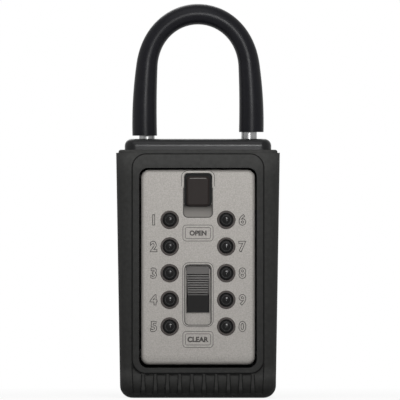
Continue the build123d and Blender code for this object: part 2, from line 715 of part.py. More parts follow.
def hook_rivet_form():
    """Rivet that holds the key hook to the back wall."""
    z = COMPARTMENT_LOW + HOOK_LOW + HOOK_RIVET_RISE
    face = COMPARTMENT_BACK_Y - HOOK_STRIP
    shank = through(0, (face, COMPARTMENT_BACK_Y + HOOK_RIVET_LENGTH), z, HOOK_RIVET_RADIUS)
    return shank + through(0, (face - HOOK_STRIP, face), z, HOOK_RIVET_HEAD)


def make_key_hook():
    """Bent strip on the back wall, turned up at its end to hold a key ring."""
    back = COMPARTMENT_BACK_Y - HOOK_STRIP / 2
    low = COMPARTMENT_LOW + HOOK_LOW
    front = back - HOOK_REACH + HOOK_STRIP
    line = [(back, low + HOOK_PLATE), (back, low), (front, low), (front, low + HOOK_LIP)]
    return side_slab(bent_strip(line, HOOK_STRIP), (-HOOK_WIDTH / 2, HOOK_WIDTH / 2)) - hook_rivet_form()


def post_slot(post, travel):
    """Heights of the slot that a post moves down through."""
    return post[0] - travel - SLIDE / 2, post[1] + SLIDE / 2


def lid_rims():
    """Raised rims: over the top of the OPEN recess, round the CLEAR recess and round the two labels."""
    y = (LID_Y - RIM_RAISE, LID_Y + RIM_RAISE)
    corner = RECESS_CORNER + RIM_WIDTH
    open_rim = (OPEN_RECESS_HIGH - OPEN_RIM_DROP, OPEN_RECESS_HIGH + RIM_WIDTH)
    clear_rim = (CLEAR_RECESS_LOW - RIM_WIDTH, CLEAR_RECESS_HIGH + RIM_WIDTH)
    rims = [
        front_slab(window(OPEN_RECESS_WIDTH / 2 + RIM_WIDTH, open_rim, corner), y),
        front_slab(window(CLEAR_RECESS_WIDTH / 2 + RIM_WIDTH, clear_rim, corner), y),
    ]
    for rise in (OPEN_LABEL_RISE, CLEAR_LABEL_RISE):
        z = (LID_LOW + rise - LABEL_HEIGHT / 2, LID_LOW + rise + LABEL_HEIGHT / 2)
        inner = (z[0] + RIM_WIDTH, z[1] - RIM_WIDTH)
        outline = window(LABEL_WIDTH / 2, z, LABEL_CORNER)
        outline -= window(LABEL_WIDTH / 2 - RIM_WIDTH, inner, LABEL_CORNER - RIM_WIDTH / 2)
        rims.append(front_slab(outline, y))
    return rims


def make_lid():
    """Lid shell: rims, recesses, button holes, hinge bar, screw bosses, plate rails, spring seats."""
    z = (LID_LOW, LID_HIGH)
    shell = front_slab(window(LID_HALF, z, LID_CORNER), (LID_Y, LID_BACK_Y))
    shell = fillet(shell.edges().group_by(Axis.Y)[0], LID_ROUND)
    inside = (LID_INSIDE_LOW, LID_INSIDE_HIGH)
    shell -= front_slab(
        window(LID_INSIDE_HALF, inside, LID_CORNER - LID_SIDE_WALL), (LID_INSIDE_Y, LID_BACK_Y)
    )
    recesses = (
        (OPEN_RECESS_WIDTH, (OPEN_RECESS_LOW, OPEN_RECESS_HIGH), OPEN_POST, OPEN_TRAVEL),
        (CLEAR_RECESS_WIDTH, (CLEAR_RECESS_LOW, CLEAR_RECESS_HIGH), CLEAR_POST, CLEAR_TRAVEL),
    )
    floor_y = RECESS_Y + RECESS_FLOOR
    shell += lid_rims()
    for width, (low, high), post, travel in recesses:
        grown = (low - RECESS_FLOOR, min(high + RECESS_FLOOR, LID_INSIDE_HIGH + FIT))
        shell += block((-width / 2 - RECESS_FLOOR, width / 2 + RECESS_FLOOR), (LID_INSIDE_Y, floor_y), grown)
        shell -= front_slab(
            window(width / 2, (low, high), RECESS_CORNER), (LID_Y - RIM_RAISE - FIT, RECESS_Y)
        )
        half = POST_HALF + SLIDE
        shell -= block((-half, half), (RECESS_Y - FIT, floor_y + FIT), post_slot(post, travel))
    rail_low, rail_high = LID_LOW + BOSS_LOW, BUTTON_HIGH_Z + PLATE_OVER
    for side in (-1, 1):
        seat = tuple(sorted((side * (FLANGE_RADIUS + BUTTON_COLUMN + FIT), side * RAIL_HALF)))
        rail = tuple(sorted((side * (PLATE_HALF + SLIDE), side * RAIL_HALF)))
        shelf = tuple(sorted((side * RAIL_HALF, side * (LID_INSIDE_HALF + FIT))))
        for piece in ((rail_low, SEAT_Z + RAIL_WIDTH), (EAR_Z + EAR_HEIGHT + RAIL_WIDTH, rail_high)):
            shell += block(seat, (LID_INSIDE_Y - FIT, FINGER_Y), piece)
            shell += block(rail, (FINGER_Y - FIT, RESET_Y + RESET_PLATE), piece)
        shell += block(
            shelf, (GATE_Y - PLATE_GAP, RESET_Y + RESET_PLATE + PLATE_GAP), (SEAT_Z - SEAT_HEIGHT, SEAT_Z)
        )
    for x, height in boss_places():
        shell += through(x, (LID_INSIDE_Y - FIT, LID_BACK_Y), height, BOSS_RADIUS)
        shell -= through(x, (LID_BACK_Y - PLATE_SCREW_LENGTH, LID_BACK_Y + FIT), height, PLATE_SCREW_RADIUS)
    for name, x, height in rows():
        shell -= through(x, (LID_Y - FIT, LID_INSIDE_Y + FIT), height, RING_TUBE + RING_FIT)
    shell -= block(
        (-CATCH_HALF - SLIDE, CATCH_HALF + SLIDE),
        (catch_nose_y() - SLIDE, LID_BACK_Y + FIT),
        (LID_INSIDE_HIGH - FIT, LID_HIGH + FIT),
    )
    return shell - across((-LID_WIDTH, LID_WIDTH), PIN_Y, PIN_Z, PIN_RADIUS + RUN)


def boss_places():
    """Across and height of the four screw bosses behind the lid."""
    for side in (-1, 1):
        for height in (LID_LOW + BOSS_LOW, LID_HIGH - BOSS_HIGH):
            yield side * BOSS_COLUMN, height


def make_button_rings():
    """Eyelets with a sloped rim, set in the lid's face round each button."""
    face, back = LID_Y, LID_INSIDE_Y
    profile = make_face(Polyline(
        (RING_BORE, back), (RING_TUBE, back), (RING_TUBE, face), (RING_RADIUS, face),
        (RING_RADIUS - RING_SLOPE, face - RING_PROUD), (RING_BORE + RING_SLOPE / 2, face - RING_PROUD),
        (RING_BORE, face), close=True,
    ))
    ring = revolve(profile, Axis.Y)
    return [Pos(x, 0, height) * ring for name, x, height in rows()]


def make_button(x, height):
    """Domed button, retaining flange, and a stem with a gate notch and a slotted end."""
    head = BUTTON_Y + BUTTON_CROWN
    flange_back = FLANGE_Y + FLANGE_THICKNESS
    outline = Polyline(
        (BUTTON_RADIUS, head), (BUTTON_RADIUS, FLANGE_Y), (FLANGE_RADIUS, FLANGE_Y),
        (FLANGE_RADIUS, flange_back), (STEM_RADIUS, flange_back), (STEM_RADIUS, STEM_END_Y),
        (0, STEM_END_Y), (0, BUTTON_Y),
    )
    crown = TangentArc((0, BUTTON_Y), (BUTTON_RADIUS, head), tangent=(1, 0))
    button = revolve(make_face(outline + crown), Axis.Y)
    button -= block(
        (-STEM_RADIUS, STEM_RADIUS),
        (GATE_Y - PLATE_GAP, GATE_Y + GATE_PLATE + PLATE_GAP / 2),
        (-STEM_RADIUS - FIT, -STEM_RADIUS + GATE_NOTCH),
    )
    half = STEM_SLOT_WIDTH / 2
    button -= block(
        (-half, half), (STEM_END_Y - STEM_SLOT_DEPTH, STEM_END_Y + FIT),
        (-STEM_RADIUS - FIT, STEM_RADIUS + FIT),
    )
    return Pos(x, 0, height) * button


def make_open_button():
    """Black OPEN button: bevelled cap, the flange that slides in the recess, and the post behind it."""
    cap = front_slab(
        window(OPEN_WIDTH / 2, (OPEN_LOW, OPEN_HIGH), OPEN_CORNER),
        (LID_Y - OPEN_PROUD, RECESS_Y - SLIDE / 2),
    )
    cap = chamfer(cap.edges().group_by(Axis.Y)[0], OPEN_BEVEL_DEPTH, OPEN_BEVEL)
    flange_half = OPEN_FLANGE_WIDTH / 2
    side_room = OPEN_RECESS_WIDTH / 2 - flange_half
    cap += front_slab(
        window(flange_half, (OPEN_LOW, OPEN_RECESS_HIGH - side_room), RECESS_CORNER - side_room),
        (RECESS_Y - OPEN_FLANGE, RECESS_Y - SLIDE / 2),
    )
    return cap + block((-POST_HALF, POST_HALF), (RECESS_Y - SLIDE / 2, GATE_Y), OPEN_POST)


def make_clear_button():
    """Ribbed CLEAR slider: flat strip, a ribbed wedge rising to a crest, and a sloped lower face."""
    back = RECESS_Y - SLIDE / 2
    strip_y = LID_Y + CLEAR_STRIP_SINK
    crest_y, crest_z = LID_Y - CLEAR_CREST_PROUD, CLEAR_LOW + CLEAR_CREST
    strip_z = CLEAR_HIGH - CLEAR_STRIP
    step = (strip_z - crest_z) / CLEAR_RIBS
    rise = (strip_y - crest_y) / CLEAR_RIBS
    points = [(back, CLEAR_LOW), (strip_y, CLEAR_LOW), (crest_y, crest_z)]
    for n in range(CLEAR_RIBS):
        y, z = crest_y + n * rise, crest_z + n * step
        points += [(y, z + step / 2), (y + rise + CLEAR_GROOVE, z + step * 2 / 3), (y + rise, z + step)]
    points += [(strip_y, CLEAR_HIGH), (back, CLEAR_HIGH)]
    half, crest_half = CLEAR_WIDTH / 2, CLEAR_CREST_WIDTH / 2
    slider = side_slab(make_face(Polyline(*points, close=True)), (-half, half))
    drafted = make_face(Polyline(
        (-half, back), (-half, strip_y), (-crest_half, crest_y), (crest_half, crest_y),
        (half, strip_y), (half, back), close=True,
    ))
    slider &= Pos(0, 0, CLEAR_LOW) * extrude(drafted, CLEAR_HEIGHT)
    return slider + block((-POST_HALF, POST_HALF), (back, RESET_Y), CLEAR_POST)


def stem_slots(travel):
    """Slots that leave room for every stem while a plate moves down."""
    width = 2 * (STEM_RADIUS + SLIDE)
    slot = Rot(0, 0, 90) * SlotCenterToCenter(travel, width)
    return [Pos(x, height + travel / 2) * slot for name, x, height in rows()]


def boss_room(travel):
    """Room round the screw bosses for a plate that moves down by its travel, or stays for none."""
    room = Circle(BOSS_RADIUS + SLIDE)
    if travel:
        room = Rot(0, 0, 90) * SlotCenterToCenter(travel, 2 * (BOSS_RADIUS + SLIDE))
    return [Pos(x, height + travel / 2) * room for x, height in boss_places()]


def plate_outline(travel):
    """Outline of a moving plate, clear of the hinge bar at the end of its travel."""
    low, high = LID_INSIDE_LOW + SLIDE + travel, BUTTON_HIGH_Z + PLATE_OVER
    middle, height = span((low, high))
    plate = Pos(0, middle) * Rectangle(2 * PLATE_HALF, height)
    return plate - stem_slots(travel) - boss_room(travel)


def ear_outline(side):
    """Ear on a plate's side that presses on its return spring."""
    x_middle, reach = span((PLATE_HALF - FIT, SPRING_X + EAR_PAST))
    middle, height = span((EAR_Z, EAR_Z + EAR_HEIGHT))
    return Pos(side * x_middle, middle) * Rectangle(reach, height)


def make_lock_slide():
    """Gate plate moved by OPEN, with a tongue to the button's post."""
    tongue_low, tongue_high = BUTTON_HIGH_Z, OPEN_POST[1] + SLIDE
    tongue_middle, tongue_height = span((tongue_low, tongue_high))
    outline = plate_outline(OPEN_TRAVEL) + ear_outline(-1)
    outline += Pos(0, tongue_middle) * Rectangle(2 * TONGUE_HALF, tongue_height)
    low, high = CLEAR_POST[0] - CLEAR_TRAVEL - SLIDE, CLEAR_POST[1] + OPEN_TRAVEL + SLIDE
    middle, height = span((low, high))
    outline -= Pos(0, middle) * Rectangle(2 * (POST_HALF + SLIDE), height)
    return front_slab(outline, (GATE_Y, GATE_Y + GATE_PLATE))


def make_clear_plate():
    """Reset plate moved by CLEAR."""
    outline = plate_outline(CLEAR_TRAVEL) + ear_outline(1)
    return front_slab(outline, (RESET_Y, RESET_Y + RESET_PLATE))


def make_wave_spring(side, plate_y, plate):
    """Flat wave spring between a lid seat and a plate's ear."""
    swing = SPRING_ROOM - 2 * WAVE_GAP
    low, high = SEAT_Z + WAVE_STRIP, EAR_Z - WAVE_STRIP
    step = (high - low) / WAVE_LEGS
    points = [
        (side * SPRING_X + (-1) ** n * swing / 2, low + n * step) for n in range(WAVE_LEGS + 1)
    ]
    y = plate_y + plate / 2
    return front_slab(bent_strip(points, WAVE_STRIP), (y - WAVE_WIDTH / 2, y + WAVE_WIDTH / 2))


def make_finger_spring():
    """One stamped plate with ten fingers bent forward to the buttons' flanges."""
    low, high = LID_LOW + BOSS_LOW, BUTTON_HIGH_Z + PLATE_OVER
    middle, height = span((low, high))
    outline = Pos(0, middle) * Rectangle(2 * PLATE_HALF, height) - boss_room(0)
    for name, x, z in rows():
        cut_middle, cut_height = span((z, z + FINGER_REACH + FINGER_LENGTH))
        outline -= Pos(x, z) * Circle(STEM_RADIUS + SLIDE)
        outline -= Pos(x, cut_middle) * Rectangle(FINGER_WIDTH + SLIDE, cut_height)
    slot_middle, slot_height = span(post_slot(CLEAR_POST, CLEAR_TRAVEL))
    outline -= Pos(0, slot_middle) * Rectangle(2 * (POST_HALF + SLIDE), slot_height + SLIDE)
    plate = front_slab(outline, (FINGER_Y, FINGER_Y + FINGER_PLATE))
    tip_y = FLANGE_Y + FLANGE_THICKNESS + FINGER_PLATE
    root_y = FINGER_Y + FINGER_PLATE / 2
    for name, x, z in rows():
        root_z = z + FINGER_REACH + FINGER_LENGTH
        line = [(root_y, root_z + FINGER_PLATE), (root_y, root_z), (tip_y, z + FINGER_REACH)]
        plate += side_slab(bent_strip(line, FINGER_PLATE), (x - FINGER_WIDTH / 2, x + FINGER_WIDTH / 2))
    return plate


def make_code_plate():
    """Back plate of the lid, with a hole for each stem's slotted end."""
    z = (LID_LOW + CODE_PLATE_LOW, LID_HIGH - CODE_PLATE_TOP)
    plate = front_slab(
        window(LID_HALF - CODE_PLATE_INSET, z, CODE_PLATE_CORNER), (LID_BACK_Y, CODE_PLATE_BACK_Y)
    )
    y = (LID_BACK_Y - FIT, CODE_PLATE_BACK_Y + FIT)
    for name, x, height in rows():
        plate -= through(x, y, height, STEM_RADIUS + STEM_ROOM)
    for x, height in boss_places():
        plate -= through(x, y, height, PLATE_SCREW_RADIUS)
    for x in (-CATCH_RIVET_COLUMN, CATCH_RIVET_COLUMN):
        plate -= through(x, y, catch_rivet_height(), CATCH_RIVET_RADIUS)
    return plate


def make_plate_screws():
    """Four pan-head screws through the code plate into the lid's bosses."""
    tip = LID_BACK_Y - PLATE_SCREW_LENGTH + FIT
    head = CODE_PLATE_BACK_Y + PLATE_SCREW_HEAD_HEIGHT
    return [
        through(x, (tip, CODE_PLATE_BACK_Y), height, PLATE_SCREW_RADIUS)
        + through(x, (CODE_PLATE_BACK_Y, head), height, PLATE_SCREW_HEAD)
        for x, height in boss_places()
    ]


def catch_nose_y():
    """Front of the lid catch's nose, a sliding gap behind the strike."""
    return STRIKE_Y + STRIKE_PLATE + SLIDE


def catch_rivet_height():
    """Height of the two rivets in the lid catch's foot."""
    return LID_HIGH - CATCH_FOOT + CATCH_FOOT_LENGTH / 2


def make_lid_catch():
    """Spring-steel strip on the code plate, jogged forward, with a nose turned towards the strike."""
    foot_y = LID_BACK_Y - CATCH_STRIP / 2
    foot_z = LID_HIGH - CATCH_FOOT
    blade_y = foot_y - CATCH_JOG
    top = CATCH_HIGH - CATCH_STRIP / 2
    line = [
        (foot_y, foot_z), (foot_y, foot_z + CATCH_FOOT_LENGTH),
        (blade_y, foot_z + CATCH_FOOT_LENGTH + CATCH_RAMP), (blade_y, top), (catch_nose_y(), top),
    ]
    catch = side_slab(bent_strip(line, CATCH_STRIP), (-CATCH_HALF, CATCH_HALF))
    for x in (-CATCH_RIVET_COLUMN, CATCH_RIVET_COLUMN):
        y = (LID_BACK_Y - 2 * CATCH_STRIP, LID_BACK_Y + FIT)
        catch -= through(x, y, catch_rivet_height(), CATCH_RIVET_RADIUS)
    return catch


def make_catch_rivets():
    """Two rivets through the lid catch and the code plate."""
    face = LID_BACK_Y - CATCH_STRIP
    return [
        through(x, (face, CODE_PLATE_BACK_Y), catch_rivet_height(), CATCH_RIVET_RADIUS)
        + through(x, (face - CATCH_STRIP, face), catch_rivet_height(), CATCH_RIVET_HEAD)
        for x in (-CATCH_RIVET_COLUMN, CATCH_RIVET_COLUMN)
    ]


def save(name, solids):
    """Write one sub-part, made of one solid or of a list of them, to its own file."""
    pieces = solids if isinstance(solids, list) else [solids]
    shapes = [solid for piece in pieces for solid in piece.solids()]
    shape = shapes[0] if len(shapes) == 1 else Compound(children=shapes)
    shape.label = name
    export_step(shape, f"parts/{name}.step")


def main():
    os.makedirs("parts", exist_ok=True)
    save("box_body", make_box())
    save("rubber_jacket", make_jacket())
    save("shackle_bushes", make_bushes())
    save("hinge_pin", make_hinge_pin())
    save("lid_gasket", make_gasket())
    save("strike_plate", make_strike())
    save("shackle_catch", make_shackle_catch())
    save("catch_screw", latch_screw_form())
    save("release_screws", [release_screw_form(x) for x in RELEASE_SCREWS])
    save("key_hook", make_key_hook())
    save("hook_rivet", hook_rivet_form())
    save("shackle_rod", make_shackle_rod())
    save("shackle_sleeve", make_shackle_sleeve())
    save("heel_clip", make_heel_clip())
    save("release_slide", make_release_slide())
    save("lid_shell", make_lid())
    save("button_rings", make_button_rings())
    save("finger_spring", make_finger_spring())
    save("code_plate", make_code_plate())
    save("plate_screws", make_plate_screws())
    save("lid_catch", make_lid_catch())
    save("catch_rivets", make_catch_rivets())
    save("open_spring", make_wave_spring(-1, GATE_Y, GATE_PLATE))
    save("clear_spring", make_wave_spring(1, RESET_Y, RESET_PLATE))
    save("open_button", make_open_button())
    save("lock_slide", make_lock_slide())
    save("clear_button", make_clear_button())
    save("clear_plate", make_clear_plate())
    for name, x, height in rows():
        save(f"push_button_{name}", make_button(x, height))


main()
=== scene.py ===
import json
import math

import bpy
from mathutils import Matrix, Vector


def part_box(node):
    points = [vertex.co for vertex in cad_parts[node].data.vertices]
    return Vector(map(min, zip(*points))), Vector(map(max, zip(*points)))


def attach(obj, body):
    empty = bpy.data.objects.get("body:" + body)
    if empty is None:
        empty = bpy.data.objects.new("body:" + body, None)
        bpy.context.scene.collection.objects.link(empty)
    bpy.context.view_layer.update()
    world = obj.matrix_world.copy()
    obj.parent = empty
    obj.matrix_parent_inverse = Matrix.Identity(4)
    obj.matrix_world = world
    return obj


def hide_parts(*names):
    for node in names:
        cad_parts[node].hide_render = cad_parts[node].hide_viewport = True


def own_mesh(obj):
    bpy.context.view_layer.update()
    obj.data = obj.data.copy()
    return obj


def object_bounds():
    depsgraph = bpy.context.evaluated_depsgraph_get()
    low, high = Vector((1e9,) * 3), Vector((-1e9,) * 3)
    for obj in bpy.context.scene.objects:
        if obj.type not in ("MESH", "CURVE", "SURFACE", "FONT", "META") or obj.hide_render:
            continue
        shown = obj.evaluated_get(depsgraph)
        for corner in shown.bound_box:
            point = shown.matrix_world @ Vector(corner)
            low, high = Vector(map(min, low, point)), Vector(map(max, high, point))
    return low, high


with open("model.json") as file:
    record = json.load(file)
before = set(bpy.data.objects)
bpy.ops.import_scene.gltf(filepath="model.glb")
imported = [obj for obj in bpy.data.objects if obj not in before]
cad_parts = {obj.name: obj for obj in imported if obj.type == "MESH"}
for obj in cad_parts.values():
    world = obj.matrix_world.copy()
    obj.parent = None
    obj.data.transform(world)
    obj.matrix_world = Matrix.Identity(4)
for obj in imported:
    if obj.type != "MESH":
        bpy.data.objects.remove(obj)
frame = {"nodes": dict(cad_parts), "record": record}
cad_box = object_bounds()

# Portable key safe. Lengths here are in millimetres and MM turns them into the frame's metres.
MM = 0.001

# Camera: straight from the front, from far away
VIEW_HEIGHT = 154.9
VIEW_MIDDLE_Z = 76.7
VIEW_SHIFT_X = 0.78
LENS = 1500.0
SENSOR = 36.0

# Lamps: name, azimuth and elevation in degrees, distance and size in metres, power in watts
LAMPS = (
    ("key", 6.0, 13.0, 0.75, 0.09, 3.5),
    ("top", -8.0, 55.0, 0.5, 0.35, 0.7),
    ("left", -75.0, 20.0, 0.9, 0.7, 0.5),
    ("right", 75.0, 20.0, 0.9, 0.7, 0.25),
    ("back", 190.0, 40.0, 0.9, 0.6, 2.4),
)

# Light of the room from below and from above
ROOM_LOW = 0.04
ROOM_HIGH = 0.22

# Floor, in metres: the shadow is kept in part up to the near distance and is gone at the far one
FLOOR_SIZE = 12.0
FLOOR_KEPT_SHADOW = 0.12
FLOOR_NEAR = 0.1
FLOOR_FAR = 0.35

# Painted light and shade: how the jacket, its notches and the lid get paler with height and darker low
# down, as if lit from above: heights and factors
JACKET_PAINTED_LIGHT = (
    (0.0, 0.95), (9.0, 0.98), (12.0, 0.85), (50.0, 0.95), (86.0, 1.05), (92.0, 1.45), (98.0, 1.55),
)
NOTCH_PAINTED_LIGHT = ((0.0, 0.45), (3.0, 0.5), (6.0, 0.85), (8.8, 1.35), (10.0, 1.3), (13.0, 1.0))
LID_PAINTED_LIGHT = ((12.8, 0.68), (14.8, 0.82), (16.8, 0.95), (52.0, 1.0), (88.0, 1.06))

# Jacket's flat face round its bezel, and how deep below it the notches' painted light and shade start and
# are full
JACKET_FACE = -19.4
NOTCH_TONE_START = 0.1
NOTCH_TONE_END = 0.5

# CLEAR slider: its tones, with painted light on its ribs and flat strip and painted shade on its lower
# face, its crest above its foot, its flat strip and the wedge of its ribs
SLIDER_DARK = (0.010, 0.0097, 0.0095)
SLIDER_RIBS = (0.115, 0.110, 0.106)
SLIDER_STRIP = (0.085, 0.080, 0.077)
SLIDER_CREST = 6.7
SLIDER_STRIP_HEIGHT = 2.9
SLIDER_STRIP_TONE = (0.80, 0.86)
SLIDER_WEDGE = 1.6
SLIDER_CREST_HALF = 3.75
SLIDER_SPREAD = 0.55

# Painted shade in the grooves of the slider: count, place and width as shares of a rib's pitch, and depth
GROOVE_COUNT = 9
GROOVE_PLACE = 0.62
GROOVE_WIDTH = 0.42
GROOVE_SINK = 0.10

# OPEN button: its tones, brown on its face and black behind it as painted shade, how far behind its face
# they change, and the painted highlight line on its top edge
OPEN_BROWN = (0.017, 0.0135, 0.0125)
OPEN_BLACK = (0.005, 0.005, 0.005)
OPEN_TONE_START = 0.5
OPEN_TONE_END = 0.7
OPEN_TOP_EDGE = 1.9
OPEN_TOP_HALF = 3.2
OPEN_TOP_LINE = 0.24

# Painted shadow on the floor of the OPEN recess: its tones from the bottom up, over these heights
RECESS_TONES = (
    (0.0, (0.225, 0.214, 0.200)), (0.45, (0.175, 0.166, 0.156)),
    (0.8, (0.105, 0.100, 0.094)), (1.0, (0.045, 0.043, 0.041)),
)
RECESS_LOW = 70.1
RECESS_HIGH = 74.4
RECESS_TOP = 75.1
RECESS_DEPTH = 1.96

# Digits and words on the lid, whose rims stand a little above its face
RIM_RAISE = 0.25
CAPITAL = 0.73
DIGIT_HEIGHT = 4.2
DIGIT_COLUMN = 17.2
DIGIT_BOLD = 0.16
DIGIT_LINE = 0.13
WORD_BOLD = 0.12

# Widths of the dark lines on the lid, painted shade at its edges and rims, and how deep a line sinks in a
# face
FRAME_LINE = 0.2
BOLD_FRAME_LINE = 0.28
EDGE_LINE = 0.36
LINE_SINK = 0.04
FINE_SINK = 0.03

# Labels: word, height of its middle and of its letters
LABELS = (("OPEN", 63.9, 2.1), ("CLEAR", 22.7, 2.2))

# Frames of a label: name, half width, half height, corner and line
LABEL_FRAMES = (("outer", 5.85, 3.1, 1.3, FRAME_LINE), ("inner", 4.95, 2.2, 0.7, BOLD_FRAME_LINE))

# Windows with rounded corners: half width, low, high and corner
CLEAR_RIM = (5.9, 27.7, 52.4, 2.3)
CLEAR_EDGE = (5.15, 28.25, 51.65, 1.7)
OPEN_FLOOR = (5.5, RECESS_LOW, 76.5, 1.55)
OPEN_EDGE = (5.65, 70.0, 90.0, 1.7)
OPEN_RIM = (6.4, 60.0, 88.05, 2.4)
BEZEL_SHADE_WINDOW = (25.5, 9.52, 94.55, 5.4)

# Heights at which the open-ended lines of the OPEN recess end
OPEN_EDGE_END = 81.5
OPEN_RIM_END = 82.0

# Dark lines of painted shade round the jacket's bezel and notches; the outer notches' outer lines run
# higher
BEZEL_LINE = 0.44
NOTCH_COUNT = 11
NOTCH_PITCH = 4.72
NOTCH_BASE_HALF = 1.47
NOTCH_TOP_HALF = 1.80
NOTCH_LINE_LOW = 1.9
NOTCH_LINE_CURVE = (2.4, 3.0, 3.8, 4.8)
NOTCH_LINE_HIGH = 9.1
NOTCH_OUTER_HIGH = 13.4
NOTCH_LINE = 0.3
JACKET_BASE_ROUND = 4.8

# Fine pale ring line on each button's dome, a painted highlight where the dome steps
BUTTON_LINE_RADIUS = 1.72
BUTTON_LINE = 0.14
BUTTON_LINE_SINK = 0.30
BUTTON_LINE_STEPS = 24

# Wave springs: node, joint that presses it and the joint's travel
SPRINGS = (("open_spring", "open_slide", 3.5), ("clear_spring", "clear_slide", 4.2))


def place(node_name):
    """Low and high corners of a CAD node, in millimetres."""
    low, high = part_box(node_name)
    return [c / MM for c in low], [c / MM for c in high]


def new_material(name):
    """An empty material, its node tree and its shader."""
    material = bpy.data.materials.new(name)
    material.use_nodes = True
    tree = material.node_tree
    return material, tree, tree.nodes["Principled BSDF"]


def grain(tree, size, stretch=(1.0, 1.0, 1.0)):
    """Noise whose blobs are about size millimetres across, drawn out along an axis by its stretch."""
    coordinates = tree.nodes.new("ShaderNodeTexCoord")
    mapping = tree.nodes.new("ShaderNodeMapping")
    mapping.inputs["Scale"].default_value = [1 / (s * size * MM) for s in stretch]
    noise = tree.nodes.new("ShaderNodeTexNoise")
    noise.inputs["Scale"].default_value = 1.0
    noise.inputs["Detail"].default_value = 3.0
    tree.links.new(coordinates.outputs["Object"], mapping.inputs["Vector"])
    tree.links.new(mapping.outputs["Vector"], noise.inputs["Vector"])
    return noise.outputs["Fac"]


def between(tree, source, low, high, start=0.3, end=0.7):
    """Source, where it lies from start to end, as a number from low to high."""
    node = tree.nodes.new("ShaderNodeMapRange")
    node.inputs["From Min"].default_value = start
    node.inputs["From Max"].default_value = end
    node.inputs["To Min"].default_value = low
    node.inputs["To Max"].default_value = high
    tree.links.new(source, node.inputs["Value"])
    return node.outputs["Result"]


def ramp(tree, source, stops):
    """Colours at places along source."""
    node = tree.nodes.new("ShaderNodeValToRGB")
    elements = node.color_ramp.elements
    while len(elements) < len(stops):
        elements.new(0.5)
    for element, (position, colour) in zip(elements, stops):
        element.position = position
        element.color = (*colour, 1.0)
    tree.links.new(source, node.inputs["Fac"])
    return node.outputs["Color"]


def bump(tree, shader, layers):
    """Relief from one or more heights, each with its depth in millimetres."""
    normal = None
    for height, depth in layers:
        node = tree.nodes.new("ShaderNodeBump")
        node.inputs["Strength"].default_value = 1.0
        node.inputs["Distance"].default_value = depth * MM
        tree.links.new(height, node.inputs["Height"])
        if normal is not None:
            tree.links.new(normal, node.inputs["Normal"])
        normal = node.outputs["Normal"]
    tree.links.new(normal, shader.inputs["Normal"])


def shade(colour, factor):
    """A colour made lighter or darker."""
    return tuple(c * factor for c in colour)


def place_share(tree, axis, low, high):
    """Place on the object along an axis, from 0 at low to 1 at high, both in millimetres."""
    coordinates = tree.nodes.new("ShaderNodeTexCoord")
    parts = tree.nodes.new("ShaderNodeSeparateXYZ")
    tree.links.new(coordinates.outputs["Object"], parts.inputs["Vector"])
    return between(tree, parts.outputs[axis], 0.0, 1.0, low * MM, high * MM)


def height_factor(tree, stops):
    """A factor that changes with height; stops are heights in millimetres with a factor below 2 each."""
    low, high = stops[0][0], stops[-1][0]
    halves = [((z - low) / (high - low), (f / 2, f / 2, f / 2)) for z, f in stops]
    return between(tree, ramp(tree, place_share(tree, "Z", low, high), halves), 0.0, 2.0, 0.0, 1.0)


def times(tree, tones, factor):
    """Tones multiplied by a factor."""
    product = tree.nodes.new("ShaderNodeVectorMath")
    product.operation = "MULTIPLY"
    tree.links.new(tones, product.inputs[0])
    tree.links.new(factor, product.inputs[1])
    return product.outputs["Vector"]


def deepened(tree, tones, start, end, stops):
    """Tones changed by height where they lie deeper than start; at end the change is full."""
    depth = tree.nodes.new("ShaderNodeMapRange")
    depth.inputs["To Min"].default_value = 1.0
    tree.links.new(height_factor(tree, stops), depth.inputs["To Max"])
    tree.links.new(place_share(tree, "Y", start, end), depth.inputs["Value"])
    return times(tree, tones, depth.outputs["Result"])


def surface(name, colour, rough, size, depth, spread=0.12, stretch=(1, 1, 1), metallic=0.0, specular=0.5,
            rough_spread=0.06, fine=0.12, fine_depth=0.0, painted_light=(), deep=()):
    """A finish whose tone, gloss and relief vary with a coarse and a fine grain."""
    material, tree, shader = new_material(name)
    coarse = grain(tree, size, stretch)
    tones = ramp(tree, coarse, [(0.3, shade(colour, 1 - spread)), (0.7, shade(colour, 1 + spread))])
    # Painted light: where given, the tones are made lighter or darker with height.
    if painted_light:
        tones = times(tree, tones, height_factor(tree, painted_light))
    if deep:
        tones = deepened(tree, tones, *deep)
    tree.links.new(tones, shader.inputs["Base Color"])
    gloss = between(tree, coarse, rough - rough_spread, rough + rough_spread)
    tree.links.new(gloss, shader.inputs["Roughness"])
    shader.inputs["Metallic"].default_value = metallic
    shader.inputs["Specular IOR Level"].default_value = specular
    layers = [(coarse, depth)]
    if fine_depth:
        layers.append((grain(tree, fine), fine_depth))
    bump(tree, shader, layers)
    return material


def toned(name, axis, low, high, stops, size, rough, specular, depth):
    """A finish whose tone changes along an axis and whose gloss and relief vary with a grain."""
    material, tree, shader = new_material(name)
    tree.links.new(ramp(tree, place_share(tree, axis, low, high), stops), shader.inputs["Base Color"])
    coarse = grain(tree, size)
    tree.links.new(between(tree, coarse, *rough), shader.inputs["Roughness"])
    shader.inputs["Specular IOR Level"].default_value = specular
    bump(tree, shader, [(coarse, depth)])
    return material


def worn_slider():
    """The CLEAR slider: dark grey, painted paler as if lit from the crest of its ribs up to its flat strip,
    and painted dark as shade below the crest.
    """
    low, high = (corner[2] for corner in place("clear_button"))
    crest = SLIDER_CREST / (high - low)
    ribs_end, strip_start = SLIDER_STRIP_TONE
    stops = (
        (crest - 0.02, SLIDER_DARK), (crest + 0.06, SLIDER_RIBS),
        (ribs_end, SLIDER_RIBS), (strip_start, SLIDER_STRIP),
    )
    return toned("slider_grey", "Z", low, high, stops, 0.9, (0.30, 0.42), 0.14, 0.003)


def recess_shade():
    """The OPEN recess's floor with a painted shadow, dull and dark towards the button."""
    return toned("recess_shade", "Z", RECESS_LOW, RECESS_HIGH, RECESS_TONES, 0.45, (0.5, 0.62), 0.05, 0.012)


